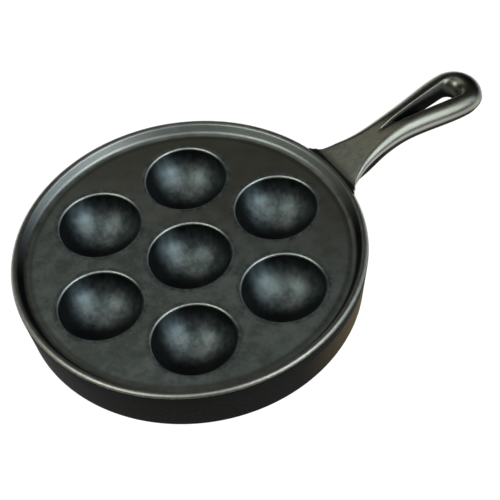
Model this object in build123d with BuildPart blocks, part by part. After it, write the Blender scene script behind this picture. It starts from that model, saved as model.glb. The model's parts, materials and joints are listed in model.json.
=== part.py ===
from build123d import *
import math
import os

# Seven-cup stovetop pan, cast in one piece, in millimetres.
# The origin is the centre of the ring that the pan stands on, +Z is up
# and the handle points along +X. The casting is written as its natural
# sections, which meet face to face without a gap.

# Cups, which set the size of the whole pan
ring_cup_count = 6
cup_mouth_diameter = 54.0
cup_web = 13.0
cup_depth = 23.0
cup_wall = 4.0
cup_edge_radius = 1.6

# Cooking plate
plate_thickness = 4.0

# Raised lip around the plate, and its distance from the outer cups' mouths
cups_to_lip = 21.1
lip_height = 6.5
lip_width = 4.5
lip_outer_edge_radius = 2.55
lip_inner_edge_radius = 2.6
lip_draw_in = 3.75
cove_radius = 3.4
cove_border = 0.4

# Side wall under the plate, tapered for the mould, and the cups' clearance
# above the surface that the pan stands on
wall_thickness = 4.2
wall_draw_in = 4.5
foot_edge_radius = 1.3
cup_clearance = 1.9

# Handle: distances from the lip outwards, and its rise from lip to grip
handle_length = 117.4
neck_distance = 36.9
level_distance = 55.9
round_distance = 74.0
handle_rise = 6.1

# Handle: half widths seen from above, and thicknesses seen from the side
root_half_width = 20.8
neck_half_width = 12.1
loop_half_width = 19.3
root_thickness = 12.0
grip_thickness = 14.4

# Handle: rounding of its upper and lower edges, and the narrower keel
# that the underside has where it joins the wall
root_edge_radius = 1.6
grip_edge_radius = 9.0
under_edge_radius = 3.2
root_keel_half_width = 11.5
keel_draw_in = 1.6
root_valley_depth = 1.9
root_valley_width = 14.0
root_fillet_radius = 4.0
root_overlap = 9.0

# Hanging eye: a drop-shaped opening, flared above and below its waist. It
# starts at a distance from the lip, and the iron left beside it is an arm.
eye_waist_distance = 56.9
waist_end_thickness = 21.0
waist_arm_width = 14.9
eye_waist_tip_radius = 1.0
eye_top_distance = 38.9
top_end_thickness = 9.5
top_arm_width = 10.1
eye_top_tip_radius = 1.6
eye_under_distance = 52.9
under_end_thickness = 17.5
under_arm_width = 11.7
eye_under_tip_radius = 1.6
eye_waist_drop = 0.5
neck_to_eye = 5.0

# How far a cut runs past what it cuts
overrun = 10.0

# Most of its wall that a rounding may take
rounding_share = 0.97

# Curves of the handle, as pure numbers
flare_power = 2.2
swell_power = 1.15
station_shares = (0.0, 0.03, 0.07, 0.12, 0.19, 0.28, 0.4, 0.53, 0.66, 0.78, 0.9, 1.0)

# Levels and radii that follow from the sizes above
cup_mouth_radius = cup_mouth_diameter / 2
cup_ring_radius = cup_mouth_diameter + cup_web
lip_radius = cup_ring_radius + cup_mouth_radius + cups_to_lip
foot_radius = lip_radius - wall_draw_in
plate_top = cup_clearance + cup_wall + cup_depth
plate_underside = plate_top - plate_thickness
pan_height = plate_top + lip_height
wall_slope = wall_draw_in / pan_height
handle_reach = lip_radius + handle_length
neck_reach = lip_radius + neck_distance
level_reach = lip_radius + level_distance
loop_centre = handle_reach - loop_half_width


def outer_radius(height):
    """Radius of the tapered outside at a height above the foot."""
    return foot_radius + wall_slope * height


def smooth(share):
    """Rises from 0 to 1 with level ends."""
    held = min(max(share, 0.0), 1.0)
    return held * held * (3.0 - 2.0 * held)


# Side wall, a tapered ring that stands on its foot edge
with BuildPart() as side_wall:
    with BuildSketch(Plane.XZ) as wall_section:
        with BuildLine():
            Polyline(
                (foot_radius - wall_thickness, 0),
                (foot_radius, 0),
                (outer_radius(plate_underside), plate_underside),
                (outer_radius(plate_underside) - wall_thickness, plate_underside),
                close=True,
            )
        make_face()
        fillet(wall_section.vertices().group_by(Axis.Y)[0], foot_edge_radius)
    revolve(axis=Axis.Z)
side_wall.part.label = "side_wall"

# Rim, with its cove rising from the plate to the rounded lip. A rounding
# runs along each side of its corner by its radius times the corner's reach,
# and the lip's two roundings share its width.
lip_inner_radius = lip_radius - lip_width
cove_foot_radius = lip_inner_radius - lip_draw_in
inner_corner_reach = 1 / math.tan(math.pi / 4 + math.atan2(lip_draw_in, lip_height) / 2)
outer_corner_reach = 1 / math.tan(math.pi / 4 - math.atan2(wall_draw_in, pan_height) / 2)
lip_use = lip_inner_edge_radius * inner_corner_reach + lip_outer_edge_radius * outer_corner_reach
lip_share = min(1.0, rounding_share * lip_width / lip_use)
inner_rounding = lip_inner_edge_radius * lip_share
outer_rounding = lip_outer_edge_radius * lip_share
cove_side = math.hypot(lip_height, lip_draw_in) - inner_rounding * inner_corner_reach
cove_rounding = min(cove_radius, rounding_share * cove_side / inner_corner_reach)
plate_radius = cove_foot_radius - cove_rounding * inner_corner_reach - cove_border
with BuildPart() as rim:
    with BuildSketch(Plane.XZ) as rim_section:
        with BuildLine():
            Polyline(
                (plate_radius, plate_underside),
                (outer_radius(plate_underside), plate_underside),
                (lip_radius, pan_height),
                (lip_inner_radius, pan_height),
                (cove_foot_radius, plate_top),
                (plate_radius, plate_top),
                close=True,
            )
        make_face()
        outer_corner = rim_section.vertices().sort_by_distance((lip_radius, pan_height))[0]
        fillet(outer_corner, outer_rounding)
        inner_corner = rim_section.vertices().sort_by_distance((lip_inner_radius, pan_height))[0]
        fillet(inner_corner, inner_rounding)
        cove_corner = rim_section.vertices().sort_by_distance((cove_foot_radius, plate_top))[0]
        fillet(cove_corner, cove_rounding)
    revolve(axis=Axis.Z)
rim.part.label = "rim"

# One cup: a bowl whose inside is part of a sphere, with an even wall
bowl_radius = (cup_mouth_radius**2 + cup_depth**2) / (2 * cup_depth)
bowl_centre = plate_top - cup_depth + bowl_radius
shell_radius = bowl_radius + cup_wall
cup_seat_radius = math.sqrt(shell_radius**2 - (bowl_centre - plate_underside) ** 2)
cup_places = [(0, 0)]
for number in range(ring_cup_count):
    turn = 2 * math.pi * number / ring_cup_count
    cup_places.append((cup_ring_radius * math.cos(turn), cup_ring_radius * math.sin(turn)))
cup_names = ["cup_centre"] + [f"cup_{number + 1}" for number in range(ring_cup_count)]


def make_cup(place):
    """A cup at its place in the plate, from the plate's top down."""
    down = math.pi / 2
    inner_end = math.atan2(plate_top - bowl_centre, cup_mouth_radius)
    outer_end = math.atan2(plate_underside - bowl_centre, cup_seat_radius)
    inner_middle = (inner_end - down) / 2
    outer_middle = (outer_end - down) / 2
    section_plane = Plane(origin=(place[0], place[1], 0), x_dir=(1, 0, 0), z_dir=(0, -1, 0))
    with BuildPart() as cup:
        with BuildSketch(section_plane) as cup_section:
            with BuildLine():
                ThreePointArc(
                    (0, bowl_centre - bowl_radius),
                    (bowl_radius * math.cos(inner_middle), bowl_centre + bowl_radius * math.sin(inner_middle)),
                    (cup_mouth_radius, plate_top),
                )
                Polyline(
                    (cup_mouth_radius, plate_top),
                    (cup_seat_radius, plate_top),
                    (cup_seat_radius, plate_underside),
                )
                ThreePointArc(
                    (cup_seat_radius, plate_underside),
                    (shell_radius * math.cos(outer_middle), bowl_centre + shell_radius * math.sin(outer_middle)),
                    (0, bowl_centre - shell_radius),
                )
                Line((0, bowl_centre - shell_radius), (0, bowl_centre - bowl_radius))
            make_face()
            mouth = cup_section.vertices().sort_by_distance((cup_mouth_radius, plate_top))[0]
            fillet(mouth, cup_edge_radius)
        revolve(axis=Axis((place[0], place[1], 0), (0, 0, 1)))
    return cup


cups = [make_cup(place) for place in cup_places]
for cup, cup_name in zip(cups, cup_names):
    cup.part.label = cup_name

# Cooking plate, a flat disc with a round seat for each cup
with BuildPart() as cooking_plate:
    with BuildSketch(Plane.XY.offset(plate_underside)):
        Circle(plate_radius)
        with Locations(*cup_places):
            Circle(cup_seat_radius, mode=Mode.SUBTRACT)
    extrude(amount=plate_thickness)
cooking_plate.part.label = "cooking_plate"


# Curves of the handle, each against the distance from the pan's centre
def half_width(reach):
    if reach < neck_reach:
        share = (neck_reach - reach) / (neck_reach - lip_radius)
        into_corner = min(max(lip_radius + root_fillet_radius - reach, 0.0), root_fillet_radius)
        corner = root_fillet_radius - math.sqrt(root_fillet_radius**2 - into_corner**2)
        return neck_half_width + (root_half_width - neck_half_width) * share**flare_power + corner / 2
    share = (reach - neck_reach) / (loop_centre - neck_reach)
    return neck_half_width + (loop_half_width - neck_half_width) * smooth(share**swell_power)


def middle_height(reach):
    """Height of the middle of the upper edge's rounding."""
    beyond = reach - lip_radius
    climb = handle_rise * smooth(beyond / (level_reach - lip_radius))
    valley = root_valley_depth * (1.0 - smooth(beyond / root_valley_width))
    return pan_height + climb - valley


def grip_share(reach):
    """0 at the root, 1 from the neck on."""
    return smooth((reach - lip_radius) / (neck_reach - lip_radius))


def round_share(reach):
    """How far the upper edge has reached its full rounding."""
    left = 1.0 - (reach - lip_radius) / round_distance
    return 1.0 - min(max(left, 0.0), 1.0) ** 2


def between(root_value, grip_value, share):
    return root_value + (grip_value - root_value) * share


def right_side(reach):
    """Half of the handle's cross section: a flat top, a rounded upper edge down
    to the widest point, a straight flank and a rounded lower edge."""
    share = grip_share(reach)
    thickness = between(root_thickness, grip_thickness, share)
    wide = half_width(reach)
    edge = between(root_edge_radius, grip_edge_radius, round_share(reach))
    edge = min(edge, rounding_share * wide, rounding_share * thickness)
    keel = between(root_keel_half_width, wide - keel_draw_in, share)
    under = min(under_edge_radius, keel / 2, rounding_share * (thickness - edge))
    upper = (wide - edge, middle_height(reach))
    lower = (keel - under, upper[1] + edge - thickness + under)
    run = math.hypot(wide - lower[0], upper[1] - lower[1])
    heading = math.atan2(upper[1] - lower[1], wide - lower[0])
    flank = heading - math.acos(min(under / run, 1.0))
    return upper, edge, lower, under, flank


def section_outline(reach, whole=True):
    """Draws the section inside the current BuildLine."""
    upper, edge, lower, under, flank = right_side(reach)
    up = math.pi / 2

    def around(centre, radius, angle):
        return (centre[0] + radius * math.cos(angle), centre[1] + radius * math.sin(angle))

    top = (upper[0], upper[1] + edge)
    bottom = (lower[0], lower[1] - under)
    Line((0, top[1]), top)
    ThreePointArc(top, around(upper, edge, up / 2), around(upper, edge, 0))
    Line(around(upper, edge, 0), around(lower, under, flank))
    ThreePointArc(around(lower, under, flank), around(lower, under, (flank - up) / 2), bottom)
    Line(bottom, (0, bottom[1]))
    if whole:
        mirror(about=Plane.YZ)
    else:
        Line((0, bottom[1]), (0, top[1]))


# Whole handle: lofted from the root to the loop's centre, with a round end
handle_start = lip_radius - root_overlap
with BuildPart() as handle_form:
    for station in station_shares:
        reach = handle_start + (loop_centre - handle_start) * station
        with BuildSketch(Plane.YZ.offset(reach)):
            with BuildLine():
                section_outline(reach)
            make_face()
    loft()
    with BuildSketch(Plane.YZ.offset(loop_centre)):
        with BuildLine():
            section_outline(loop_centre, whole=False)
        make_face()
    revolve(axis=Axis((loop_centre, 0, 0), (0, 0, 1)), revolution_arc=-180)


# Hanging eye through the loop, as the space that it leaves
loop_middle = middle_height(loop_centre)
loop_top = loop_middle + right_side(loop_centre)[1]
loop_underside = loop_top - grip_thickness
split_reach = lip_radius + eye_top_distance - neck_to_eye


def drop_outline(distance, end_thickness, arm_width, tip_radius):
    """Draws a drop that lies along X inside the current BuildLine."""
    start = lip_radius + distance
    end = handle_reach - end_thickness
    round_radius = loop_half_width - arm_width
    tip = start + tip_radius
    heart = end - round_radius
    lean = math.asin((round_radius - tip_radius) / (heart - tip))
    tip_touch = (tip - tip_radius * math.sin(lean), tip_radius * math.cos(lean))
    round_touch = (heart - round_radius * math.sin(lean), round_radius * math.cos(lean))
    Line(tip_touch, round_touch)
    ThreePointArc(round_touch, (end, 0), (round_touch[0], -round_touch[1]))
    Line((round_touch[0], -round_touch[1]), (tip_touch[0], -tip_touch[1]))
    ThreePointArc((tip_touch[0], -tip_touch[1]), (start, 0), tip_touch)


with BuildPart() as eye_space:
    with BuildSketch(Plane.XY.offset(loop_underside)) as eye_under:
        with BuildLine():
            drop_outline(eye_under_distance, under_end_thickness, under_arm_width, eye_under_tip_radius)
        make_face()
    with BuildSketch(Plane.XY.offset(loop_middle - eye_waist_drop)):
        with BuildLine():
            drop_outline(eye_waist_distance, waist_end_thickness, waist_arm_width, eye_waist_tip_radius)
        make_face()
    with BuildSketch(Plane.XY.offset(loop_top)) as eye_top:
        with BuildLine():
            drop_outline(eye_top_distance, top_end_thickness, top_arm_width, eye_top_tip_radius)
        make_face()
    loft()
    extrude(eye_top.sketch, amount=overrun)
    extrude(eye_under.sketch, amount=-overrun)

# Space inside the pan's outside, which the handle's root must leave
with BuildPart() as pan_space:
    with BuildSketch(Plane.XZ) as pan_section:
        with BuildLine():
            Polyline(
                (0, 0),
                (foot_radius, 0),
                (lip_radius, pan_height),
                (0, pan_height),
                close=True,
            )
        make_face()
        lip_corner = pan_section.vertices().sort_by_distance((lip_radius, pan_height))[0]
        fillet(lip_corner, outer_rounding)
    revolve(axis=Axis.Z)

with BuildPart() as handle_neck:
    add(handle_form.part)
    split(bisect_by=Plane.YZ.offset(split_reach), keep=Keep.BOTTOM)
    add(pan_space.part, mode=Mode.SUBTRACT)
handle_neck.part.label = "handle_neck"

with BuildPart() as handle_loop:
    add(handle_form.part)
    split(bisect_by=Plane.YZ.offset(split_reach), keep=Keep.TOP)
    add(eye_space.part, mode=Mode.SUBTRACT)
handle_loop.part.label = "handle_loop"

# One file for each section of the casting
os.makedirs("parts", exist_ok=True)
sections = [cooking_plate, rim, side_wall, *cups, handle_neck, handle_loop]
for section in sections:
    export_step(section.part, f"parts/{section.part.label}.step")
    print(section.part.label, round(section.part.volume), "mm3, solids:", len(section.part.solids()))
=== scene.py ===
# %% [markdown]
# # An aebleskiver pan in seasoned cast iron
# The real pan is one casting: a flat plate with seven half-ball cups, a lip
# with a cove, a tapered wall below, and a handle that ends in a loop.
# Each section of the casting becomes one Blender piece here. The sections
# share the points of their outlines, so that no seam shows between them.

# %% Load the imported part
import json
import math

import bmesh
import bpy
from mathutils import Matrix, Vector

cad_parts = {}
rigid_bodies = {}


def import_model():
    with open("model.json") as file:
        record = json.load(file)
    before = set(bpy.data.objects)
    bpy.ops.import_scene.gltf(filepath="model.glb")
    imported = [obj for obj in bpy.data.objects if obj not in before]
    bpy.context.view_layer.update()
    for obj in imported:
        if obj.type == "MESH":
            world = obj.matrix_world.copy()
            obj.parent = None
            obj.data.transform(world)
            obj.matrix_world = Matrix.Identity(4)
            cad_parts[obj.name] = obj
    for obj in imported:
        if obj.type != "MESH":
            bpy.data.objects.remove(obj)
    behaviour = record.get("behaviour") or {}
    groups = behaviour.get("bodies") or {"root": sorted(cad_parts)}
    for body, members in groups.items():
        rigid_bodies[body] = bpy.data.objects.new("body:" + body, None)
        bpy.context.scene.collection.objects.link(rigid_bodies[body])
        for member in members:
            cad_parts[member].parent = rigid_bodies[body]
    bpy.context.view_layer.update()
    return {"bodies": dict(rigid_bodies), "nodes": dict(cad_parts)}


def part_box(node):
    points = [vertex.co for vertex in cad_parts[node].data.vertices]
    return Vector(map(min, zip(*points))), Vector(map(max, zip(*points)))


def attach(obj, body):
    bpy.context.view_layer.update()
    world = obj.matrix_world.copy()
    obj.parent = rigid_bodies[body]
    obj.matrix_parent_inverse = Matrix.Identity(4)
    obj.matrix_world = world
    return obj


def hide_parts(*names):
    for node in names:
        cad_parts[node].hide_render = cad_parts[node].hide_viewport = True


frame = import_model()
body = list(frame["bodies"])[0]
print("nodes:", sorted(frame["nodes"]), "on body", body)

# %% [markdown]
# ## Sizes
# The main surfaces take their places from the frame. They could be typed in
# again, but then a change to the part would leave the looks behind. What a box
# can't tell, such as a rounding or a curve, is given where it is needed.

# %% Read the main sizes
mm = 0.001
plate_low, plate_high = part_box("cooking_plate")
cup_low, cup_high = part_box("cup_centre")
loop_low, loop_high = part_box("handle_loop")
wall_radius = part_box("side_wall")[1].x
pan_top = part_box("rim")[1].z

plate_under = plate_low.z
plate_top = plate_high.z
plate_radius = plate_high.x
seat_radius = cup_high.x
wall_draw_in = 4.5 * mm
wall_slope = wall_draw_in / pan_top
lip_radius = wall_radius + wall_slope * (pan_top - plate_under)
print("lip radius", round(lip_radius / mm, 2), "mm, plate top", round(plate_top / mm, 2), "mm")

# %% [markdown]
# ## The camera
# The photograph was taken from above, with the handle pointing away to the
# right. A camera could be placed by its coordinates, but angles and a distance
# from one point on the plate are easier to read and to set one at a time.

# %% Place the camera
view_target = Vector((33.35 * mm, -19.98 * mm, plate_top))
view_azimuth = 241.72
view_elevation = 50.21
view_lean = -6.96
view_distance = 1050.4 * mm
sensor_size = 36.0
lens_length = 118.0


def direction(azimuth, elevation):
    """The unit vector towards an azimuth, from +X anticlockwise, and an elevation, in degrees."""
    turned = math.radians(azimuth)
    raised = math.radians(elevation)
    level = math.cos(raised)
    return Vector((math.cos(turned) * level, math.sin(turned) * level, math.sin(raised)))


camera = bpy.data.objects.new("camera", bpy.data.cameras.new("camera"))
bpy.context.scene.collection.objects.link(camera)
camera.data.sensor_width = sensor_size
camera.data.lens = lens_length
towards_camera = direction(view_azimuth, view_elevation)
upright = towards_camera.to_track_quat("Z", "Y")
leaning = upright @ Matrix.Rotation(math.radians(view_lean), 3, "Z").to_quaternion()
stand = Matrix.Translation(view_target + view_distance * towards_camera)
camera.matrix_world = stand @ leaning.to_matrix().to_4x4()
bpy.context.scene.camera = camera
print("camera at", [round(value, 4) for value in camera.matrix_world.translation])

# %% [markdown]
# ## A small language for nodes
# Blender describes its materials and its Geometry Nodes as trees of nodes. They
# can be drawn by hand in the editor, but a script is easier to read and to
# change. A wire is an output of a node, and a calculation with wires adds Math
# nodes. A graph adds every other node, its settings first and then its inputs.

# %% Calculate with wires
class Wire:
    """An output of a node, which can be used in calculations."""

    def __init__(self, graph, socket):
        self.graph = graph
        self.socket = socket

    def calculate(self, operation, *values):
        """Adds a Math node that works on the values, in their order."""
        return self.graph.add("ShaderNodeMath", {"operation": operation}, dict(enumerate(values)))

    def __add__(self, other):
        return self.calculate("ADD", self, other)

    def __radd__(self, other):
        return self.calculate("ADD", other, self)

    def __sub__(self, other):
        return self.calculate("SUBTRACT", self, other)

    def __rsub__(self, other):
        return self.calculate("SUBTRACT", other, self)

    def __mul__(self, other):
        return self.calculate("MULTIPLY", self, other)

    def __rmul__(self, other):
        return self.calculate("MULTIPLY", other, self)

    def larger(self, other):
        return self.calculate("MAXIMUM", self, other)

    def smaller(self, other):
        return self.calculate("MINIMUM", self, other)

    def modulo(self, other):
        return self.calculate("MODULO", self, other)

    def rounded(self):
        return self.calculate("ROUND", self)

    def root(self):
        return self.calculate("SQRT", self)

    def sine(self):
        return self.calculate("SINE", self)

    def cosine(self):
        return self.calculate("COSINE", self)


# %% Build graphs
class Graph:
    """A node tree that is built by calls."""

    def __init__(self, tree):
        self.tree = tree

    def lead(self, wire, socket):
        """Leads a wire to an input of a node that already stands."""
        self.tree.links.new(wire.socket, socket)

    def add(self, kind, settings=None, inputs=None, output=0):
        """Adds a node: first its settings, then the values or wires of its inputs."""
        node = self.tree.nodes.new(kind)
        for name, value in (settings or {}).items():
            setattr(node, name, value)
        for name, value in (inputs or {}).items():
            if isinstance(value, Wire):
                self.lead(value, node.inputs[name])
            else:
                node.inputs[name].default_value = value
        return Wire(self, node.outputs[output])

    def parts(self, wire):
        """The X, Y and Z of a vector."""
        node = self.add("ShaderNodeSeparateXYZ", None, {0: wire}).socket.node
        return [Wire(self, socket) for socket in node.outputs]

    def join(self, *wires):
        """One geometry made of several."""
        node = self.tree.nodes.new("GeometryNodeJoinGeometry")
        for wire in wires:
            self.lead(wire, node.inputs[0])
        return Wire(self, node.outputs[0])


def new_material(name):
    """An empty node material, with its graph and its output node."""
    material = bpy.data.materials.new(name)
    material.use_nodes = True
    material.node_tree.nodes.clear()
    graph = Graph(material.node_tree)
    output = material.node_tree.nodes.new("ShaderNodeOutputMaterial")
    return material, graph, output


print("nodes can be built")

# %% [markdown]
# ## The floor
# The pan stands on a white ground with a faint shadow. A floor lit by lamps
# alone would turn grey, and one that only glows would lose the shadow, so the
# floor mixes both: mostly its own glow to the camera and in reflections, with
# a little real shading. It is brighter in reflections than to the camera, so
# that the dark iron shows it, and from below it is clear.

# %% Make the floor's material
floor_colour = (0.86, 0.86, 0.86, 1.0)
floor_glow_share = 0.86
floor_glow = 1.12
floor_mirrored = 2.3

floor_material, graph, output = new_material("pale_floor")
light_path = graph.tree.nodes.new("ShaderNodeLightPath")
seen = Wire(graph, light_path.outputs["Is Camera Ray"])
mirrored = Wire(graph, light_path.outputs["Is Glossy Ray"])
passed = Wire(graph, light_path.outputs["Is Transmission Ray"])
shown = seen.larger(mirrored).larger(passed)
glow_level = floor_glow + mirrored * (floor_mirrored - floor_glow)
matt = graph.add("ShaderNodeBsdfDiffuse", None, {"Color": floor_colour})
glow = graph.add("ShaderNodeEmission", None, {"Strength": glow_level})
pale = graph.add("ShaderNodeMixShader", None, {0: shown * floor_glow_share, 1: matt, 2: glow})
below = graph.add("ShaderNodeNewGeometry", None, None, "Backfacing")
clear = graph.add("ShaderNodeBsdfTransparent")
floor_mix = graph.add("ShaderNodeMixShader", None, {0: below, 1: pale, 2: clear})
graph.lead(floor_mix, output.inputs["Surface"])
print("floor material has", len(graph.tree.nodes), "nodes")

# %% Lay the floor
floor_half_size = 6.0

floor_mesh = bpy.data.meshes.new("floor")
corners = [(-1, -1), (1, -1), (1, 1), (-1, 1)]
floor_points = [(x * floor_half_size, y * floor_half_size, 0) for x, y in corners]
floor_mesh.from_pydata(floor_points, [], [(0, 1, 2, 3)])
floor = bpy.data.objects.new("floor", floor_mesh)
bpy.context.scene.collection.objects.link(floor)
floor_mesh.materials.append(floor_material)
print("floor is", 2 * floor_half_size, "m wide")

# %% [markdown]
# ## The light
# Dark satin iron shows mostly what it mirrors, so its shape is drawn by large
# soft lamps and not by one bright one. They face the pan, and their places were
# chosen by the gleams in the photograph. The room is almost black to the iron
# and pale to the camera.

# %% Darken the room
room_level = 0.02

world = bpy.data.worlds.new("studio")
world.use_nodes = True
world.node_tree.nodes.clear()
graph = Graph(world.node_tree)
light_path = graph.tree.nodes.new("ShaderNodeLightPath")
seen = Wire(graph, light_path.outputs["Is Camera Ray"])
room_strength = room_level + seen * (1.0 - room_level)
room = graph.add("ShaderNodeBackground", None, {"Strength": room_strength})
world_output = graph.tree.nodes.new("ShaderNodeOutputWorld")
graph.lead(room, world_output.inputs["Surface"])
bpy.context.scene.world = world
bpy.context.scene.view_settings.view_transform = "Standard"
print("room level", room_level)

# %% Hang the lamps
lamp_distance = 1.8


def softbox(name, azimuth, elevation, width, height, level, colour):
    """A soft rectangular lamp that faces the pan. Its level is how bright its face is."""
    lamp = bpy.data.lights.new(name, "AREA")
    lamp.shape = "RECTANGLE"
    lamp.size = width
    lamp.size_y = height
    lamp.energy = level * math.pi * width * height
    lamp.color = colour
    light = bpy.data.objects.new(name, lamp)
    bpy.context.scene.collection.objects.link(light)
    towards = direction(azimuth, elevation)
    aim = towards.to_track_quat("Z", "Y").to_matrix().to_4x4()
    light.matrix_world = Matrix.Translation(towards * lamp_distance) @ aim


softbox("near_strip_lamp", 292, 43, 0.85, 1.4, 4.4, (0.90, 0.98, 0.97))
softbox("near_right_lamp", 326, 30, 0.5, 1.5, 2.2, (0.74, 0.90, 1.0))
softbox("near_top_lamp", 325, 70, 0.8, 0.8, 0.8, (0.95, 1.0, 0.95))
softbox("far_low_lamp", 72, 13, 1.6, 0.5, 0.9, (1.0, 1.0, 0.95))
softbox("left_lamp", 177, 48, 0.9, 0.8, 5.0, (0.95, 1.0, 0.90))
softbox("left_upper_lamp", 210, 56, 0.8, 0.8, 1.2, (0.8, 1.0, 0.95))
softbox("top_lamp", 105, 68, 1.1, 1.1, 1.3, (1.0, 1.0, 0.88))
print("lamps hang", lamp_distance, "m from the pan's middle")

# %% [markdown]
# ## Seasoned cast iron
# Oil that is baked on turns grey iron black and satin. The sand of the mould
# leaves a fine grain, and use leaves cloudy patches that shine differently.
# A photograph could be wrapped round the pan, but it would carry its own light
# and its own seams. Noise in space has neither, and it runs on from one piece
# to the next, so that the pan still looks like one casting.

# %% Name what all the iron shares
drift_size = 70 * mm
cloud_size = 9 * mm
fleck_size = 2.6 * mm
grain_size = 0.9 * mm
grain_depth = 0.03 * mm
fleck_height = 1.5
sheen_level = 0.04
oiled_metallic = 0.95
# The level direction that points away from the camera
away_x = 0.47
away_y = 0.88
print("patches are", [round(size / mm, 1) for size in (drift_size, cloud_size, fleck_size)], "mm")

# %% Start an iron material
# The colour inputs and the colour output of a Mix node
mix_first = 6
mix_second = 7
mix_result = 2


def opaque(colour):
    """A colour as a node takes it. A wire stays as it is."""
    return colour if isinstance(colour, Wire) else (*colour, 1.0)


class Iron:
    """Oil-seasoned cast iron, with the fields that its finishes share."""

    def __init__(self, name):
        self.material, self.graph, self.output = new_material(name)
        self.place = self.graph.add("ShaderNodeTexCoord", None, None, "Object")
        self.x, self.y, self.z = self.graph.parts(self.place)
        self.radius = (self.x * self.x + self.y * self.y).root()
        normal = self.graph.add("ShaderNodeNewGeometry", None, None, "Normal")
        self.facing_x, self.facing_y, self.facing_up = self.graph.parts(normal)
        self.facing_away = self.facing_x * away_x + self.facing_y * away_y
        self.drift = self.noise(drift_size, 2.0)
        self.cloud = self.noise(cloud_size, 4.0, 0.6)
        self.fleck = self.noise(fleck_size, 3.0, 0.6)
        self.grain = self.noise(grain_size, 2.0)

    def noise(self, feature_size, detail, roughness=0.5, squeeze=None):
        """Noise from 0 to 1, with patches of about a size. A squeeze below 1 draws them out."""
        place = self.place
        if squeeze:
            place = self.graph.add("ShaderNodeVectorMath", {"operation": "MULTIPLY"}, {0: place, 1: squeeze})
        inputs = {"Vector": place, "Scale": 1.0 / feature_size, "Detail": detail, "Roughness": roughness}
        return self.graph.add("ShaderNodeTexNoise", None, inputs)

    def rise(self, value, span, low=0.0, high=1.0):
        """Runs smoothly from low to high while a value runs over a span."""
        inputs = {"Value": value, "From Min": span[0], "From Max": span[1], "To Min": low, "To Max": high}
        return self.graph.add("ShaderNodeMapRange", {"interpolation_type": "SMOOTHSTEP"}, inputs)

    def fall(self, value, span, high=1.0, low=0.0):
        """Runs smoothly from high to low while a value runs over a span."""
        return self.rise(value, span, high, low)

    def uneven(self, base, *swings):
        """A value that swings round its base with each pair of a field and an amount."""
        for field, amount in swings:
            base = base + (field - 0.5) * amount
        return base

    def over(self, colour, share, new_colour):
        """A colour with a share of a new colour laid over it."""
        inputs = {0: share, mix_first: opaque(colour), mix_second: opaque(new_colour)}
        return self.graph.add("ShaderNodeMix", {"data_type": "RGBA"}, inputs, mix_result)

    def finish(self, colour, roughness, metallic):
        """Ends the material with its grain and its shader."""
        height = self.grain + self.fleck * fleck_height
        bump_inputs = {"Strength": 1.0, "Distance": grain_depth, "Height": height}
        inputs = {
            "Base Color": colour,
            "Roughness": roughness,
            "Metallic": metallic,
            "Specular IOR Level": sheen_level,
            "Normal": self.graph.add("ShaderNodeBump", None, bump_inputs),
        }
        shader = self.graph.add("ShaderNodeBsdfPrincipled", None, inputs)
        self.graph.lead(shader, self.output.inputs["Surface"])
        print(self.material.name, "has", len(self.graph.tree.nodes), "nodes")
        return self.material


# %% [markdown]
# ## The plate's finish
# The plate is worn to a green grey in clouds and is browner on its far side.
# A ring of painted shade darkens the foot of the cove, where the lip shades it. The
# ring could be painted on by hand. Here it depends on the distance from the middle,
# so that the plate and the rim can share it.

# %% Finish the plate
plate_deep = (0.080, 0.093, 0.090)
plate_worn = (0.142, 0.160, 0.155)
plate_brown = (0.092, 0.086, 0.073)
plate_wear_span = (0.38, 0.62)
plate_brown_span = (-20 * mm, 90 * mm)
plate_roughness = 0.46
# Painted shade: a dark ring at the foot of the cove
cove_foot_shade_colour = (0.045, 0.042, 0.038)
cove_foot_shade_inner_span = (100.5 * mm, 103.0 * mm)
cove_foot_shade_outer_span = (103.6 * mm, 105.2 * mm)
cove_foot_shade_share = 0.6


def painted_cove_foot_shade(iron, colour):
    """Paints shade in a ring at the foot of the cove."""
    ring = iron.rise(iron.radius, cove_foot_shade_inner_span) * iron.fall(iron.radius, cove_foot_shade_outer_span)
    return iron.over(colour, ring * cove_foot_shade_share, cove_foot_shade_colour)


def plate_iron():
    """Worn in clouds, browner on the far side, with a ring of painted shade."""
    iron = Iron("plate_surface")
    worn = iron.rise(iron.cloud * 0.45 + iron.fleck * 0.2 + iron.drift * 0.35, plate_wear_span)
    colour = iron.over(plate_deep, worn, plate_worn)
    brown = iron.rise(iron.x + iron.y * 0.8, plate_brown_span, 0.0, 0.85)
    colour = iron.over(colour, brown, plate_brown)
    colour = painted_cove_foot_shade(iron, colour)
    rough = iron.uneven(plate_roughness, (iron.cloud, 0.14), (iron.drift, 0.10))
    return iron.finish(colour, rough, oiled_metallic)


plate_surface = plate_iron()

# %% [markdown]
# ## The cups' finish
# A tool scrapes each cup as the balls are turned, which leaves streaks, and the
# far side of the mouth's edge is made bright, as wear and as a painted highlight.
# The walls get painted shade, except for a painted cool highlight on the far wall.
# The lamps alone don't give these tones, so the way a point faces decides the
# painted tone, which is the same in all seven cups.

# %% Name the cups' colours and places
cup_deep = (0.050, 0.059, 0.062)
cup_worn = (0.124, 0.140, 0.142)
# A painted highlight for the far wall of each cup
cup_painted_highlight = (0.20, 0.262, 0.29)
# Painted shade for the cups' walls
cup_painted_shade = (0.014, 0.013, 0.014)
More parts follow.
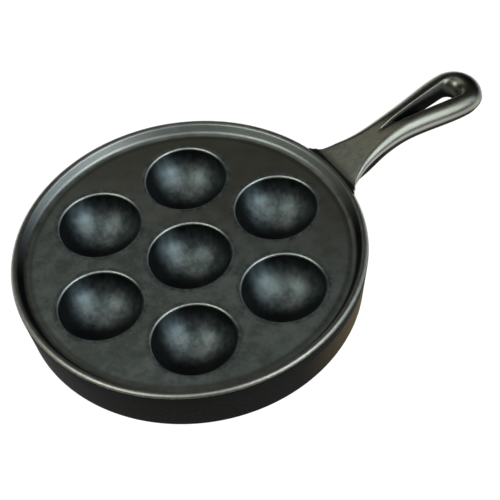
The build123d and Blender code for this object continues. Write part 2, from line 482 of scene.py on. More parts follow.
# The mouth's worn edge, which on the far side also stands as a painted highlight
cup_edge_wear_and_highlight = (0.55, 0.56, 0.53)
cup_streak_size = 3.2 * mm
cup_streak_squeeze = (1.0, 1.0, 0.35)
cup_wear_span = (0.36, 0.64)
cup_painted_highlight_span = (-0.66, -0.82)
cup_painted_highlight_right_span = (-0.34, 0.02)
cup_painted_highlight_left_span = (0.22, 0.55)
cup_steep_span = (0.20, 0.70)
cup_near_span = (-0.22, 0.22)
cup_left_span = (0.26, 0.62)
cup_painted_shade_heights = (plate_top - 0.9 * mm, plate_top - 1.8 * mm)
cup_edge_heights = (plate_top - 1.9 * mm, plate_top - 1.3 * mm)
cup_edge_steep_span = (0.30, 0.50)
cup_edge_level_span = (0.90, 0.98)
cup_edge_far_span = (0.15, -0.20)
cup_under_span = (-0.25, 0.05)
cup_roughness = 0.46
cup_under_roughness = 0.88
# Soot for the outside and undersides; on the handle's flanks and in its eye it is painted shade
soot_and_shade_colour = (0.0035, 0.0033, 0.0030)
soot_roughness = 0.82
print("cups are in full shade", round((plate_top - cup_painted_shade_heights[1]) / mm, 1), "mm down")


# %% Finish the cups
def cup_iron():
    """Streaked, with painted shade and a painted highlight inside, a worn edge painted bright on its far
    side, and sooty below.
    """
    iron = Iron("cup_surface")
    streak = iron.noise(cup_streak_size, 3.0, 0.6, cup_streak_squeeze)
    worn = iron.rise(iron.cloud * 0.4 + streak * 0.4 + iron.drift * 0.2, cup_wear_span)
    colour = iron.over(cup_deep, worn, cup_worn)

    # A painted highlight on the far wall, where the walls face the camera's side
    painted_highlight = iron.rise(iron.facing_y, cup_painted_highlight_span) * iron.rise(iron.facing_x, cup_painted_highlight_right_span)
    painted_highlight = painted_highlight * iron.fall(iron.facing_x, cup_painted_highlight_left_span)
    colour = iron.over(colour, painted_highlight * (0.10 + streak), cup_painted_highlight)

    # Painted shade on the steep, near and left walls, below the mouth
    steep_wall_shade = iron.fall(iron.facing_up, cup_steep_span, 0.80) * (1.0 - painted_highlight)
    near_wall_shade = iron.rise(iron.facing_away, cup_near_span, 0.0, 0.9)
    left = iron.rise(iron.facing_x, cup_left_span, 0.0, 0.85)
    painted_cup_shade = steep_wall_shade.larger(near_wall_shade).larger(left) * iron.rise(iron.z, cup_painted_shade_heights)
    colour = iron.over(colour, painted_cup_shade, cup_painted_shade)

    # The mouth's edge: worn bright, and only on its far side, where it is a painted highlight
    edge = iron.rise(iron.z, cup_edge_heights) * iron.rise(iron.facing_up, cup_edge_steep_span)
    edge = edge * iron.fall(iron.facing_up, cup_edge_level_span)
    edge = edge * iron.rise(iron.facing_y, cup_edge_far_span)
    colour = iron.over(colour, edge * (0.3 + iron.fleck * 0.6), cup_edge_wear_and_highlight)

    under = iron.fall(iron.facing_up, cup_under_span)
    colour = iron.over(colour, under, soot_and_shade_colour)
    rough = iron.uneven(cup_roughness, (streak, 0.20), (iron.cloud, 0.12))
    rough = rough + under * (cup_under_roughness - cup_roughness)
    return iron.finish(colour, rough, oiled_metallic * (1.0 - under))


cup_surface = cup_iron()

# %% [markdown]
# ## The rim's finish
# Inside, the rim is oiled like the plate. Its slope gets painted light on the far
# side and painted shade on the near side, hands rub the lip's crown to bare metal,
# and flames leave soot outside. These could be four materials on one piece, but
# their borders would be hard. One material that mixes them has soft, patchy borders.

# %% Finish the rim
rim_deep = (0.080, 0.083, 0.078)
rim_worn = (0.125, 0.130, 0.122)
# Painted shade and painted light for the slope, on its near and far side
slope_painted_shade = (0.012, 0.012, 0.011)
slope_painted_light = (0.35, 0.365, 0.355)
crown_colour = (0.42, 0.41, 0.37)
rim_wear_span = (0.38, 0.62)
slope_span = (0.62, 0.92)
slope_place = (lip_radius - 3.4 * mm, lip_radius - 4.2 * mm)
slope_painted_light_span = (0.05, -0.50)
crown_place = (lip_radius - 2.7 * mm, lip_radius - 1.9 * mm)
crown_span = (0.55, 0.82)
outside_span = (0.20, 0.45)
outside_place = (lip_radius - 4.0 * mm, lip_radius - 3.0 * mm)
rim_under_span = (-0.3, 0.0)
rim_roughness = 0.44


def rim_iron():
    """Oiled iron inside, with painted light and shade on its slope, which turns into sooty black over the
    lip and down the outside.
    """
    iron = Iron("rim_surface")
    worn = iron.rise(iron.cloud * 0.5 + iron.fleck * 0.2 + iron.drift * 0.3, rim_wear_span)
    colour = iron.over(rim_deep, worn, rim_worn)

    # The slope: painted light where it faces the camera's side, painted shade where it faces away
    slope = iron.fall(iron.facing_up, slope_span) * iron.rise(iron.radius, slope_place)
    slope_painted_tone = iron.over(slope_painted_shade, iron.rise(iron.facing_away, slope_painted_light_span), slope_painted_light)
    colour = iron.over(colour, slope, slope_painted_tone)

    crown = iron.rise(iron.radius, crown_place) * iron.rise(iron.facing_up, crown_span)
    colour = iron.over(colour, crown * (0.45 + iron.fleck * 0.8), crown_colour)
    # Painted shade at the foot of the cove
    colour = painted_cove_foot_shade(iron, colour)

    ragged = iron.uneven(iron.facing_up, (iron.fleck, 0.2))
    outside = iron.fall(ragged, outside_span) * iron.rise(iron.radius, outside_place)
    sooty = outside.larger(iron.fall(iron.facing_up, rim_under_span))
    colour = iron.over(colour, sooty, soot_and_shade_colour)
    rough = iron.uneven(rim_roughness, (iron.cloud, 0.14)) + sooty * (soot_roughness - rim_roughness)
    return iron.finish(colour, rough, oiled_metallic * (1.0 - sooty))


rim_surface = rim_iron()

# %% [markdown]
# ## The wall's finish
# The flames meet the wall, so soot covers it and it has no metallic shine. A
# plain black would look like a hole in the picture, so faint flecks keep its
# grain in sight, and round to the right it gets a painted brown reflection.

# %% Finish the wall
wall_fleck_colour = (0.014, 0.013, 0.011)
# A painted brown reflection, round to the right on the near side
wall_brown_reflection = (0.120, 0.086, 0.038)
wall_fleck_span = (0.50, 0.66)
wall_reflection_span = (62 * mm, 128 * mm)
wall_near_span = (-20 * mm, -60 * mm)


def wall_iron():
    """Sooty black all over, with faint flecks, and a painted brown reflection round to the right."""
    iron = Iron("wall_surface")
    flecks = iron.rise(iron.fleck * 0.6 + iron.cloud * 0.4, wall_fleck_span)
    colour = iron.over(soot_and_shade_colour, flecks * 0.6, wall_fleck_colour)
    # Painted brown reflection on the near-right part of the wall
    right = iron.rise(iron.x - iron.y * 0.5, wall_reflection_span) * iron.rise(iron.y, wall_near_span)
    colour = iron.over(colour, right * (0.35 + iron.cloud * 0.9), wall_brown_reflection)
    return iron.finish(colour, iron.uneven(soot_roughness, (iron.cloud, 0.1)), 0.0)


wall_surface = wall_iron()

# %% [markdown]
# ## The handle's finish
# Hands polish the handle's upper edges, most of all on the neck's side, and it
# is browner from the neck on. Painted shade darkens it where it leaves the lip.
# Its end stays dark, and its flanks and the inside of its eye get painted shade.
# The eye could be a piece with a material of its own, but the painted shade has
# a soft border. So the eye's shape is written again as a rule, a wedge with a
# round end.

# %% Name the handle's colours and places
handle_deep = (0.076, 0.080, 0.074)
handle_worn = (0.135, 0.137, 0.122)
handle_brown = (0.135, 0.125, 0.098)
handle_pit = (0.035, 0.035, 0.030)
# Painted shade where the handle leaves the lip
handle_root_shade = (0.030, 0.033, 0.030)
handle_polish = (0.205, 0.205, 0.185)
handle_tip_colour = (0.016, 0.012, 0.010)
handle_streak_size = 2.4 * mm
handle_streak_squeeze = (0.12, 1.0, 1.0)
handle_wear_span = (0.36, 0.64)
handle_brown_span = (lip_radius + 12 * mm, lip_radius + 34 * mm)
handle_pit_span = (0.60, 0.70)
handle_root_shade_span = (lip_radius + 0.5 * mm, lip_radius + 6.5 * mm)
polish_steep_span = (0.12, 0.30)
polish_level_span = (0.80, 0.97)
polish_fading_span = (lip_radius + 55 * mm, lip_radius + 100 * mm)
handle_tip_span = (loop_high.x - 13.0 * mm, loop_high.x - 6.5 * mm)
flank_span = (0.02, 0.20)
handle_roughness = 0.31
eye_start = 150.6 * mm
eye_tip_width = 1.0 * mm
eye_spread = 0.145
eye_heart = 213.2 * mm
eye_end_width = 10.1 * mm
eye_border_span = (-1.5 * mm, 0.0)
eye_steep_span = (0.16, 0.52)
print("handle is brown from", round(handle_brown_span[1] / mm, 1), "mm out")


# %% Finish the handle
def inside_eye(iron):
    """1 on the walls of the eye and 0 elsewhere."""
    eye_width = (eye_tip_width + (iron.x - eye_start) * eye_spread).smaller(eye_end_width)
    past_heart = (iron.x - eye_heart).larger(0.0)
    from_middle = (past_heart * past_heart + iron.y * iron.y).root()
    return iron.fall(from_middle - eye_width, eye_border_span) * iron.fall(iron.facing_up, eye_steep_span)


def handle_iron():
    """Polished along its upper edges, browner from the neck on, with painted shade on its flanks and in its
    eye.
    """
    iron = Iron("handle_surface")
    streak = iron.noise(handle_streak_size, 3.0, 0.6, handle_streak_squeeze)
    worn = iron.rise(iron.cloud * 0.4 + iron.fleck * 0.2 + streak * 0.4, handle_wear_span)
    colour = iron.over(handle_deep, worn, handle_worn)
    colour = iron.over(colour, iron.rise(iron.x, handle_brown_span, 0.0, 0.6), handle_brown)
    colour = iron.over(colour, iron.rise(iron.fleck, handle_pit_span, 0.0, 0.6), handle_pit)
    # Painted shade in the crease where the handle leaves the lip
    colour = iron.over(colour, iron.fall(iron.radius, handle_root_shade_span, 0.75), handle_root_shade)

    polished = iron.rise(iron.facing_up, polish_steep_span) * iron.fall(iron.facing_up, polish_level_span)
    polished = polished * iron.fall(iron.x, polish_fading_span, 1.0, 0.45)
    colour = iron.over(colour, polished * (0.5 + streak), handle_polish)
    colour = iron.over(colour, iron.rise(iron.x, handle_tip_span, 0.0, 0.88), handle_tip_colour)

    # Painted shade on the handle's flanks and on the walls of its eye
    flank_and_eye_shade = iron.fall(iron.facing_up, flank_span).larger(inside_eye(iron))
    colour = iron.over(colour, flank_and_eye_shade, soot_and_shade_colour)
    rough = iron.uneven(handle_roughness, (iron.cloud, 0.10), (streak, 0.08))
    rough = rough + flank_and_eye_shade * (soot_roughness - handle_roughness)
    return iron.finish(colour, rough, oiled_metallic * (1.0 - flank_and_eye_shade))


handle_surface = handle_iron()

# %% [markdown]
# ## Turned sections
# The rim, the wall and the cups are round. Spin or Screw could turn them, but a
# tree of Geometry Nodes does it once for all of them, with sizes that can be
# set. It works as a lathe does: a flat grid is rolled up, and each of its rows
# takes its radius and its height from one point of a profile.

# %% Draw a profile with rounded corners
corner_steps = 12


def rounded_profile(corners):
    """Points of a closed outline. A corner is (radius, height, rounding)."""
    points = []
    count = len(corners)
    for number, (x, z, rounding) in enumerate(corners):
        corner = Vector((x, z))
        if rounding == 0:
            points.append(corner)
            continue
        before = Vector(corners[number - 1][:2])
        after = Vector(corners[(number + 1) % count][:2])
        back = (before - corner).normalized()
        ahead = (after - corner).normalized()
        half_angle = back.angle(ahead) / 2
        reach = rounding / math.tan(half_angle)
        centre = corner + (back + ahead).normalized() * rounding / math.sin(half_angle)
        start = corner + back * reach - centre
        end = corner + ahead * reach - centre
        arc = math.pi - 2 * half_angle
        for step in range(corner_steps + 1):
            share = step / corner_steps
            blend = start * math.sin((1 - share) * arc) + end * math.sin(share * arc)
            points.append(centre + blend.normalized() * rounding)
    return points


# %% Start and end a tree of Geometry Nodes
crease_angle = math.radians(20)
weld_distance = 0.001 * mm


def geometry_tree(name, inputs):
    """An empty tree with named inputs, with its graph and the wires of those inputs."""
    tree = bpy.data.node_groups.new(name, "GeometryNodeTree")
    tree.interface.new_socket("Geometry", in_out="INPUT", socket_type="NodeSocketGeometry")
    for label, kind in inputs.items():
        tree.interface.new_socket(label, in_out="INPUT", socket_type=kind)
    tree.interface.new_socket("Geometry", in_out="OUTPUT", socket_type="NodeSocketGeometry")
    graph = Graph(tree)
    entry = tree.nodes.new("NodeGroupInput")
    wires = {socket.name: Wire(graph, socket) for socket in entry.outputs if socket.name}
    return tree, graph, wires


def finish_tree(graph, geometry, material):
    """Ends a tree: creases stay sharp, instances become real, and the material is set."""
    crease = graph.add("GeometryNodeInputMeshEdgeAngle")
    soft = graph.add("FunctionNodeCompare", {"operation": "LESS_THAN"}, {0: crease, 1: crease_angle})
    shaded = graph.add("GeometryNodeSetShadeSmooth", {"domain": "FACE"}, {"Geometry": geometry})
    edge_inputs = {"Geometry": shaded, "Shade Smooth": soft}
    shaded = graph.add("GeometryNodeSetShadeSmooth", {"domain": "EDGE"}, edge_inputs)
    real = graph.add("GeometryNodeRealizeInstances", None, {"Geometry": shaded})
    painted = graph.add("GeometryNodeSetMaterial", None, {"Geometry": real, "Material": material})
    leave = graph.tree.nodes.new("NodeGroupOutput")
    graph.lead(painted, leave.inputs[0])
    print(graph.tree.name, "tree has", len(graph.tree.nodes), "nodes")


# %% Build the lathe
lathe_inputs = {
    "Steps": "NodeSocketInt",
    "Closed": "NodeSocketInt",
    "Axis": "NodeSocketVector",
    "Material": "NodeSocketMaterial",
}
lathe, graph, given = geometry_tree("lathe", lathe_inputs)
profile = given["Geometry"]
profile_count = graph.add("GeometryNodeAttributeDomainSize", None, {"Geometry": profile})
row_count = profile_count + given["Closed"]
grid_inputs = {"Size X": 1.0, "Size Y": 1.0, "Vertices X": given["Steps"] + 1, "Vertices Y": row_count}
grid = graph.add("GeometryNodeMeshGrid", None, grid_inputs)
across, along, _ = graph.parts(graph.add("GeometryNodeInputPosition"))
angle = (across + 0.5) * math.tau
row = ((along + 0.5) * (row_count - 1)).rounded().modulo(profile_count)
place = graph.add("GeometryNodeInputPosition")
sample_inputs = {"Geometry": profile, "Value": place, "Index": row}
sampled = graph.add("GeometryNodeSampleIndex", {"data_type": "FLOAT_VECTOR"}, sample_inputs)
radius, _, height = graph.parts(sampled)
turned_inputs = {"X": radius * angle.cosine(), "Y": radius * angle.sine(), "Z": height}
turned = graph.add("ShaderNodeCombineXYZ", None, turned_inputs)
rolled_inputs = {"Geometry": grid, "Position": turned, "Offset": given["Axis"]}
rolled = graph.add("GeometryNodeSetPosition", None, rolled_inputs)
weld_inputs = {"Geometry": rolled, "Distance": weld_distance}
welded = graph.add("GeometryNodeMergeByDistance", None, weld_inputs)
finish_tree(graph, welded, given["Material"])


# %% Turn a tree's result into a piece
def piece_from_mesh(name, mesh, node):
    """A finished piece that stands for its CAD node and rides on the body."""
    piece = bpy.data.objects.new(name, mesh)
    bpy.context.scene.collection.objects.link(piece)
    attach(piece, body)
    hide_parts(node)
    print(name, "has", len(mesh.polygons), "faces")


def run_tree(tree, start_mesh, values):
    """Runs a tree on a mesh and returns the plain mesh that it makes."""
    carrier = bpy.data.objects.new("carrier", start_mesh)
    bpy.context.scene.collection.objects.link(carrier)
    modifier = carrier.modifiers.new("tree", "NODES")
    modifier.node_group = tree
    for item in tree.interface.items_tree:
        if item.in_out == "INPUT" and item.name in values:
            modifier[item.identifier] = values[item.name]
    depsgraph = bpy.context.evaluated_depsgraph_get()
    made = bpy.data.meshes.new_from_object(carrier.evaluated_get(depsgraph))
    carrier.modifiers.clear()
    bpy.data.objects.remove(carrier)
    return made


def turn(name, profile, closed, material, steps, axis=(0, 0, 0)):
    """Turns a profile on the lathe into a mesh. Unless it is closed, its ends lie on the axis."""
    start = bpy.data.meshes.new(name + "_profile")
    start.from_pydata([(point.x, 0, point.y) for point in profile], [], [])
    values = {"Steps": steps, "Closed": int(closed), "Axis": axis, "Material": material}
    return run_tree(lathe, start, values)


# %% [markdown]
# ## The rim
# The rim carries the cove and the lip. A bevel could round its corners, but
# each corner has a radius of its own, so the roundings are part of the profile.

# %% Turn the rim
lip_width = 4.5 * mm
lip_outer_rounding = 2.55 * mm
lip_inner_rounding = 2.6 * mm
lip_draw_in = 3.75 * mm
cove_rounding = 4.4 * mm
round_steps = 288

lip_inner = lip_radius - lip_width
rim_corners = [
    (plate_radius, plate_under, 0),
    (wall_radius, plate_under, 0),
    (lip_radius, pan_top, lip_outer_rounding),
    (lip_inner, pan_top, lip_inner_rounding),
    (lip_inner - lip_draw_in, plate_top, cove_rounding),
    (plate_radius, plate_top, 0),
]
rim_mesh = turn("rim", rounded_profile(rim_corners), True, rim_surface, round_steps)
piece_from_mesh("rim_casting", rim_mesh, "rim")

# %% [markdown]
# ## The side wall
# The wall is a plain ring that draws in towards its foot, so that the casting
# leaves its mould. Solidify could give a cone its thickness, but then its foot
# would tilt with it. In a profile the foot stays flat on the ground.

# %% Turn the wall
wall_thickness = 4.2 * mm
foot_rounding = 1.3 * mm

foot_radius = lip_radius - wall_draw_in
wall_corners = [
    (foot_radius - wall_thickness, 0, foot_rounding),
    (foot_radius, 0, foot_rounding),
    (wall_radius, plate_under, 0),
    (wall_radius - wall_thickness, plate_under, 0),
]
wall_mesh = turn("wall", rounded_profile(wall_corners), True, wall_surface, round_steps)
piece_from_mesh("wall_casting", wall_mesh, "side_wall")

# %% [markdown]
# ## The cups
# Each cup is part of a ball, with a small rounding at its mouth and an even
# wall. Seven holes could be cut in a block with Booleans, but their meshes
# would be ragged where light runs over the edge. A turned profile has even
# rows there. It starts and ends on the axis, and each cup stands where the
# frame has it.

# %% Work out the cup's sizes
cup_mouth_radius = 27.0 * mm
cup_depth = 23.0 * mm
cup_edge_rounding = 1.6 * mm
cup_edge_margin = 0.35 * mm
cup_steps = 120
bowl_steps = 44
cup_edge_steps = 8

cup_wall = (plate_top - cup_depth) - cup_low.z
bowl_radius = (cup_mouth_radius**2 + cup_depth**2) / (2 * cup_depth)
bowl_centre = Vector((0, plate_top - cup_depth + bowl_radius))
shell_radius = bowl_radius + cup_wall
print("bowl radius", round(bowl_radius / mm, 2), "mm, wall", round(cup_wall / mm, 2), "mm")


# %% Draw the cup's profile
def between(first, last, share):
    """A value at a share of the way from the first to the last."""
    return first + (last - first) * share


def arc_points(centre, radius, first, last, steps):
    """Points on an arc after its first one. Its angles run from the X axis towards the Y axis."""
    points = []
    for step in range(1, steps + 1):
        angle = between(first, last, step / steps)
        points.append(centre + radius * Vector((math.cos(angle), math.sin(angle))))
    return points


def cup_profile():
    """From the bottom of the shell, up its outside, over the mouth's edge and down the bowl."""
    edge_height = plate_top - cup_edge_rounding
    rise = edge_height - bowl_centre.y
    edge_radius = math.sqrt((bowl_radius + cup_edge_rounding) ** 2 - rise**2)
    edge = Vector((edge_radius, edge_height))
    lowest = -math.pi / 2
    touch = math.atan2(rise, edge_radius)
    points = [bowl_centre - Vector((0, bowl_radius))]
    points += arc_points(bowl_centre, bowl_radius, lowest, touch, bowl_steps)
    points += arc_points(edge, cup_edge_rounding, touch + math.pi, math.pi / 2, cup_edge_steps)
    points.append(Vector((edge_radius + cup_edge_margin, plate_top)))
    points.append(Vector((seat_radius, plate_top)))
    points.append(Vector((seat_radius, plate_under)))
    shell_end = math.asin(seat_radius / shell_radius) + lowest
    points += arc_points(bowl_centre, shell_radius, shell_end, lowest, bowl_steps)
    points.reverse()
    return points


cup_outline = cup_profile()
print("cup profile has", len(cup_outline), "points")

# %% Turn the cups
cup_nodes = sorted(name for name in frame["nodes"] if name.startswith("cup_"))
for node in cup_nodes:
    low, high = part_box(node)
    axis = ((low.x + high.x) / 2, (low.y + high.y) / 2, 0)
    cup_mesh = turn(node, cup_outline, False, cup_surface, cup_steps, axis)
    piece_from_mesh(node + "_casting", cup_mesh, node)

# %% [markdown]
# ## The cooking plate
# The plate is a disc with a round seat for each cup. Booleans could cut the
# seats, but here one circle is set on the points of a ring and in the middle,
# all outlines are filled at once, and the flat result is raised to the plate's
# thickness. The seats have as many steps as the cups, so both meet exactly.

# %% Build the plate's tree
plate_inputs = {
    "Steps": "NodeSocketInt",
    "Cup Steps": "NodeSocketInt",
    "Ring Cups": "NodeSocketInt",
    "Plate Radius": "NodeSocketFloat",
    "Seat Radius": "NodeSocketFloat",
    "Ring Radius": "NodeSocketFloat",
    "Underside": "NodeSocketFloat",
    "Thickness": "NodeSocketFloat",
    "Material": "NodeSocketMaterial",
}
plate_tree, graph, given = geometry_tree("plate_with_seats", plate_inputs)
edge_inputs = {"Resolution": given["Steps"], "Radius": given["Plate Radius"]}
edge = graph.add("GeometryNodeCurvePrimitiveCircle", None, edge_inputs)
seat_inputs = {"Resolution": given["Cup Steps"], "Radius": given["Seat Radius"]}
seat = graph.add("GeometryNodeCurvePrimitiveCircle", None, seat_inputs)
ring_inputs = {"Vertices": given["Ring Cups"], "Radius": given["Ring Radius"]}
ring = graph.add("GeometryNodeMeshCircle", None, ring_inputs)
middle = graph.add("GeometryNodeMeshLine", None, {"Count": 1})
seats_inputs = {"Points": graph.join(ring, middle), "Instance": seat}
seats = graph.add("GeometryNodeInstanceOnPoints", None, seats_inputs)
real_seats = graph.add("GeometryNodeRealizeInstances", None, {"Geometry": seats})
flat = graph.add("GeometryNodeFillCurve", None, {"Curve": graph.join(real_seats, edge)})
lift = graph.add("ShaderNodeCombineXYZ", None, {"Z": given["Underside"]})
flat = graph.add("GeometryNodeSetPosition", None, {"Geometry": flat, "Offset": lift})
rise = graph.add("ShaderNodeCombineXYZ", None, {"Z": given["Thickness"]})
upper = graph.add("GeometryNodeExtrudeMesh", None, {"Mesh": flat, "Offset": rise, "Individual": False})
lower = graph.add("GeometryNodeFlipFaces", None, {"Mesh": flat})
weld_inputs = {"Geometry": graph.join(upper, lower), "Distance": weld_distance}
closed_plate = graph.add("GeometryNodeMergeByDistance", None, weld_inputs)
finish_tree(graph, closed_plate, given["Material"])

# %% Make the plate
ring_low, ring_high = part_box("cup_1")
plate_values = {
    "Steps": round_steps,
    "Cup Steps": cup_steps,
    "Ring Cups": len(cup_nodes) - 1,
    "Plate Radius": plate_radius,
    "Seat Radius": seat_radius,
    "Ring Radius": (ring_low.x + ring_high.x) / 2,
    "Underside": plate_under,
    "Thickness": plate_top - plate_under,
    "Material": plate_surface,
}
plate_mesh = run_tree(plate_tree, bpy.data.meshes.new("plate_start"), plate_values)
piece_from_mesh("plate_casting", plate_mesh, "cooking_plate")

# %% [markdown]
# ## The handle's section
# The handle is a bar that leaves the lip wide, narrows to a neck and swells
# into a loop round a drop-shaped eye. It could be modelled by hand under a
# Subdivision Surface, but its curves follow simple rules. So a section is
# worked out at each reach, which is the distance from the pan's middle along
# the handle, and the mesh is laid over the sections.

# %% Name the handle's sizes
handle_reach = loop_high.x
loop_half_width = loop_high.y
neck_reach = lip_radius + 36.9 * mm
level_reach = lip_radius + 55.9 * mm
round_distance = 74.0 * mm
handle_rise = 6.1 * mm
root_half_width = 20.8 * mm
neck_half_width = 12.1 * mm
root_thickness = 12.0 * mm
grip_thickness = 14.4 * mm
root_edge_radius = 1.6 * mm
grip_edge_radius = 9.0 * mm
under_edge_radius = 3.2 * mm
root_keel_half_width = 13.2 * mm
keel_draw_in = 1.6 * mm
root_valley_depth = 1.9 * mm
root_valley_width = 14.0 * mm
root_fillet_radius = 4.0 * mm
flare_power = 2.2
swell_power = 1.15
loop_centre = handle_reach - loop_half_width
print("handle is", round((handle_reach - lip_radius) / mm, 1), "mm long")


# %% Work out the width and the height
def smooth(share):
    """Rises from 0 to 1 with level ends."""
    held = min(max(share, 0.0), 1.0)
    return held * held * (3.0 - 2.0 * held)


def half_width(reach):
    """Half of the handle's width seen from above."""
    if reach < neck_reach:
        share = (neck_reach - reach) / (neck_reach - lip_radius)
        into_corner = min(max(lip_radius + root_fillet_radius - reach, 0.0), root_fillet_radius)
        corner = root_fillet_radius - math.sqrt(root_fillet_radius**2 - into_corner**2)
        return between(neck_half_width, root_half_width, share**flare_power) + corner / 2
    share = (reach - neck_reach) / (loop_centre - neck_reach)
    return between(neck_half_width, loop_half_width, smooth(share**swell_power))


def middle_height(reach):
    """Height of the widest line, in the middle of the upper edge's rounding."""
    beyond = reach - lip_radius
    climb = handle_rise * smooth(beyond / (level_reach - lip_radius))
    valley = root_valley_depth * (1.0 - smooth(beyond / root_valley_width))
    return pan_top + climb - valley


print("neck is", round(2 * half_width(neck_reach) / mm, 1), "mm wide")

# %% Work out a section
edge_steps = 14
under_steps = 8
outside_count = edge_steps + under_steps + 2


class Section:
    """The handle's cross section at a reach: a rounded upper half, drawn in below its widest line."""

    def __init__(self, reach):
        share = smooth((reach - lip_radius) / (neck_reach - lip_radius))
        left = min(max(1 - (reach - lip_radius) / round_distance, 0.0), 1.0)
        self.edge = between(root_edge_radius, grip_edge_radius, 1 - left**2)
        thickness = between(root_thickness, grip_thickness, share)
        wide = half_width(reach)
        keel = between(root_keel_half_width, wide - keel_draw_in, share)
        widest = Vector((wide, middle_height(reach)))
        self.under = min(under_edge_radius, keel / 2)
        self.upper = Vector((wide - self.edge, widest.y))
        self.top = widest.y + self.edge
        self.bottom = self.top - thickness
        self.lower = Vector((keel - self.under, self.bottom + self.under))
        line = widest - self.lower
        self.flank = math.atan2(line.y, line.x) - math.acos(self.under / line.length)

    def outside(self):
        """Points from the end of the flat top, round the side, to the flat underside."""
        points = [Vector((self.upper.x, self.top))]
        points += arc_points(self.upper, self.edge, math.pi / 2, 0.0, edge_steps)
        first = Vector((math.cos(self.flank), math.sin(self.flank)))
        points.append(self.lower + self.under * first)
        points += arc_points(self.lower, self.under, self.flank, -math.pi / 2, under_steps)
        return points


print("a section has", len(Section(loop_centre).outside()), "points outside")


# %% Lay a mesh over rows of points
def mesh_from_rows(name, rows):
    """A mesh from rows of points on one side, mirrored to the other, welded and closed."""
    mesh = bpy.data.meshes.new(name)
    shape = bmesh.new()
    for side in (1, -1):
        grid = [[shape.verts.new((point.x, -side * point.y, point.z)) for point in row] for row in rows]
        for here, there in zip(grid, grid[1:]):
            for number in range(len(here) - 1):
                corners = [here[number], there[number], there[number + 1], here[number + 1]]
                if side == -1:
                    corners.reverse()
                shape.faces.new(corners)
    bmesh.ops.remove_doubles(shape, verts=shape.verts, dist=weld_distance)
    open_edges = [edge for edge in shape.edges if edge.is_boundary]
    bmesh.ops.holes_fill(shape, edges=open_edges, sides=0)
    bmesh.ops.recalc_face_normals(shape, faces=shape.faces)
    for face in shape.faces:
        face.smooth = True
    shape.to_mesh(mesh)
    print(name, "volume", round(shape.calc_volume() / mm**3), "mm3, open edges", len(open_edges))
    shape.free()
    mesh.set_sharp_from_angle(angle=crease_angle)
    mesh.materials.append(handle_surface)
    return mesh


# %% [markdown]
# ## The handle's neck
# The neck grows out of the round lip. Flat rings would stand off the lip at
# their ends, and a Boolean would leave a hard line. So the first rings are
# curved with the lip and straighten out along the neck, the very first lie
# inside the lip, and a small fillet swells the root.

# %% Work out the neck's rings
split_reach = loop_low.x
neck_length = split_reach - lip_radius
neck_start = -2.4 * mm
root_blend = 1.6 * mm
neck_stations = 60
station_power = 1.4
flat_steps = 8
settling_rounds = 5


def on_ring(distance, pick):
    """The point that pick takes from a section, where the ring at this distance passes it.

    A curved ring meets each of its points at a reach of its own, which depends on the
    point's half width, so it is found in a few rounds.
    """
    ring_radius = lip_radius + distance
    straight = smooth(distance / neck_length)
    reach = ring_radius
    for _ in range(settling_rounds):
        point = pick(Section(reach))
        curved = math.sqrt(ring_radius**2 - point.x**2)
        reach = between(curved, ring_radius, straight)
    return Vector((reach, point.x, point.y))


def root_swell(distance):
    """How far the root's fillet stands out at a distance from the lip."""
    into = min(max(root_blend - distance, 0.0), root_blend)
    return root_blend - math.sqrt(root_blend**2 - into**2)


def swollen(section, number, swell):
    """A point of the section's outside, moved out by the swell but never upwards."""
    points = section.outside()
    before = points[max(number - 1, 0)]
    after = points[min(number + 1, outside_count - 1)]
    along = (after - before).normalized()
    out = Vector((-along.y, along.x)) * swell
    out.y = min(out.y, 0.0)
    return points[number] + out


def neck_row(distance):
    """Half of a ring of the neck, from the middle of its top to the middle of its underside."""
    swell = root_swell(distance)
    row = []
    for step in range(flat_steps):
        share = step / flat_steps
        row.append(on_ring(distance, lambda section: Vector((section.upper.x * share, section.top))))
    for number in range(outside_count):
        row.append(on_ring(distance, lambda section: swollen(section, number, swell)))
    for step in range(1, flat_steps + 1):
        share = 1 - step / flat_steps
        row.append(on_ring(distance, lambda section: Vector((section.lower.x * share, section.bottom))))
    return row


# %% Make the neck
neck_distances = [neck_start, neck_start / 2]
for station in range(neck_stations + 1):
    neck_distances.append(neck_length * (station / neck_stations) ** station_power)
neck_rows = [neck_row(distance) for distance in neck_distances]
piece_from_mesh("neck_casting", mesh_from_rows("neck_mesh", neck_rows), "handle_neck")

# %% [markdown]
# ## The loop and its eye
# The eye is a drop that narrows down to a waist and widens again below. Above
# the waist it is dished, and below it flares. A hole cut with a Boolean would
# have a straight wall. Here each ring of the loop runs down into the eye
# instead, and three drops guide it: the eye's edge above, its waist, and its
# edge below.

# %% Define a drop
class Drop:
    """A drop-shaped outline that lies along X, from its pointed start to its round end."""

    def __init__(self, start, end, tip_radius, round_radius):
        self.start = start
        self.end = end
        self.tip_radius = tip_radius
        self.round_radius = round_radius
        self.tip = start + tip_radius
        self.heart = end - round_radius
        self.lean = math.asin((round_radius - tip_radius) / (self.heart - self.tip))
        self.touch = self.heart - round_radius * math.sin(self.lean)

    def half_width(self, reach):
        """Half of the drop's width on its straight sides and round its tip."""
        if reach <= self.start:
            return 0.0
        tip_touch = self.tip - self.tip_radius * math.sin(self.lean)
        if reach < tip_touch:
            return math.sqrt(max(self.tip_radius**2 - (reach - self.tip) ** 2, 0.0))
        side = self.tip_radius * math.cos(self.lean)
        return side + (reach - tip_touch) * math.tan(self.lean)

    def values(self):
        return self.start, self.end, self.tip_radius, self.round_radius

    def mixed(self, other, share):
        """The drop that lies between this one and another."""
        return Drop(*[between(a, b, share) for a, b in zip(self.values(), other.values())])


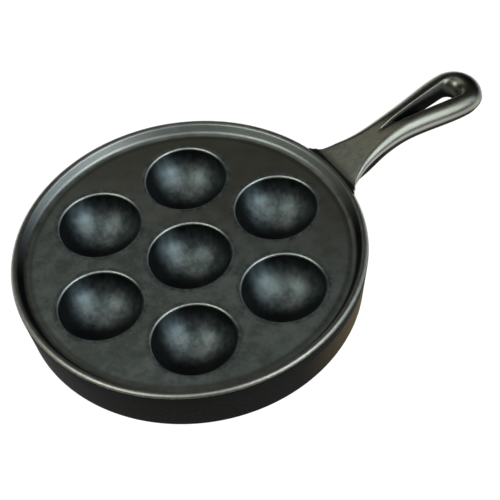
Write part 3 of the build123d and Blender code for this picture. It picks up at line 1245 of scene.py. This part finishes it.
waist = Drop(lip_radius + 54.0 * mm, handle_reach - 19.6 * mm, 2.0 * mm, 5.2 * mm)
top_edge = Drop(lip_radius + 34.5 * mm, handle_reach - 9.2 * mm, 1.0 * mm, 10.1 * mm)
under_edge = Drop(lip_radius + 53.0 * mm, handle_reach - 17.4 * mm, 4.2 * mm, 7.3 * mm)
print("eye's waist is", round((waist.end - waist.start) / mm, 1), "mm long")

# %% Work out the eye's two sides
waist_depth = 11.0 * mm
dish_lead = 0.3 * mm
dish_pull = 0.25
flare_angle = math.radians(62)
flare_steps = 12

loop_section = Section(loop_centre)
waist_height = loop_section.top - waist_depth


def dish_fall(out):
    """The share of the way down the dish at which its curve has come this far out."""
    square_part = 1 - 2 * dish_pull
    middle_part = 1 - dish_pull
    return (middle_part - math.sqrt(middle_part**2 - square_part * (1 - out))) / square_part


def dish_levels(start_share, top):
    """Pairs (how far out, height) on the dish, from its innermost line up to its edge."""
    first = dish_fall(start_share)
    levels = []
    for step in range(flare_steps + 1):
        fall = first * (1 - step / flare_steps)
        bend = 2 * fall * (1 - fall)
        out = (1 - fall) ** 2 + bend * dish_pull
        levels.append((out, top - bend * dish_lead - fall**2 * waist_depth))
    return levels


def flare_levels(start_share):
    """Pairs (how far out, height) on the flare, from its innermost line down to its edge."""
    flare_depth = waist_height - loop_section.bottom
    first = math.acos(1 - start_share * (1 - math.cos(flare_angle)))
    levels = []
    for step in range(flare_steps + 1):
        lean_angle = between(first, flare_angle, step / flare_steps)
        out = (1 - math.cos(lean_angle)) / (1 - math.cos(flare_angle))
        levels.append((out, waist_height - flare_depth * math.sin(lean_angle) / math.sin(flare_angle)))
    return levels


print("eye's waist is", round(waist_height / mm, 1), "mm above the ground")

# %% Work out the loop's rings
shift_reach = lip_radius + 70 * mm
least_opening = 0.8 * mm
web_steps = 3


def innermost_share(drop, reach):
    """How far out the eye's innermost line lies. It is 0 from the waist's start on."""
    return min(max((waist.start - reach) / (waist.start - drop.start), 0.0), 1.0)


def arm_side(drop, levels, reach):
    """Points of one side of the eye, beside an arm of the loop."""
    points = []
    for number, (out, height) in enumerate(levels):
        level = waist.mixed(drop, out)
        moved = reach
        if reach > shift_reach:
            stretch = (level.touch - shift_reach) / (loop_centre - shift_reach)
            moved = shift_reach + (reach - shift_reach) * stretch
        wide = level.half_width(moved)
        if reach < waist.start:
            wide = max(wide, least_opening * number / flare_steps) if number else 0.0
        points.append(Vector((moved, wide, height)))
    return points


def round_side(drop, levels, share):
    """Points of one side of the eye, at a share of the way round its end."""
    points = []
    for out, height in levels:
        level = waist.mixed(drop, out)
        turn_angle = between(math.pi / 2 + level.lean, 0.0, share)
        x = level.heart + level.round_radius * math.cos(turn_angle)
        points.append(Vector((x, level.round_radius * math.sin(turn_angle), height)))
    return points


def whole_row(upper, outside, lower):
    """Half of a ring: up out of the eye, over the top, round the outside and back up into the eye."""
    row = list(upper)
    for step in range(1, web_steps):
        row.append(upper[-1].lerp(outside[0], step / web_steps))
    row += outside
    for step in range(1, web_steps):
        row.append(outside[-1].lerp(lower[-1], step / web_steps))
    row += reversed(lower)
    return row


def arm_row(reach):
    """A ring across the loop where its arms run straight on."""
    section = Section(reach)
    upper = arm_side(top_edge, dish_levels(innermost_share(top_edge, reach), section.top), reach)
    lower = arm_side(under_edge, flare_levels(innermost_share(under_edge, reach)), reach)
    outside = [Vector((reach, point.x, point.y)) for point in section.outside()]
    return whole_row(upper, outside, lower)


def round_row(share):
    """A ring at a share of the way round the loop's end."""
    upper = round_side(top_edge, dish_levels(0.0, loop_section.top), share)
    lower = round_side(under_edge, flare_levels(0.0), share)
    turn_angle = between(math.pi / 2, 0.0, share)
    outside = []
    for point in loop_section.outside():
        x = loop_centre + point.x * math.cos(turn_angle)
        outside.append(Vector((x, point.x * math.sin(turn_angle), point.y)))
    return whole_row(upper, outside, lower)


# %% Make the loop
arm_stations = 90
round_stations = 40

loop_rows = []
for station in range(arm_stations + 1):
    loop_rows.append(arm_row(between(split_reach, loop_centre, station / arm_stations)))
for station in range(1, round_stations + 1):
    loop_rows.append(round_row(station / round_stations))
piece_from_mesh("loop_casting", mesh_from_rows("loop_mesh", loop_rows), "handle_loop")
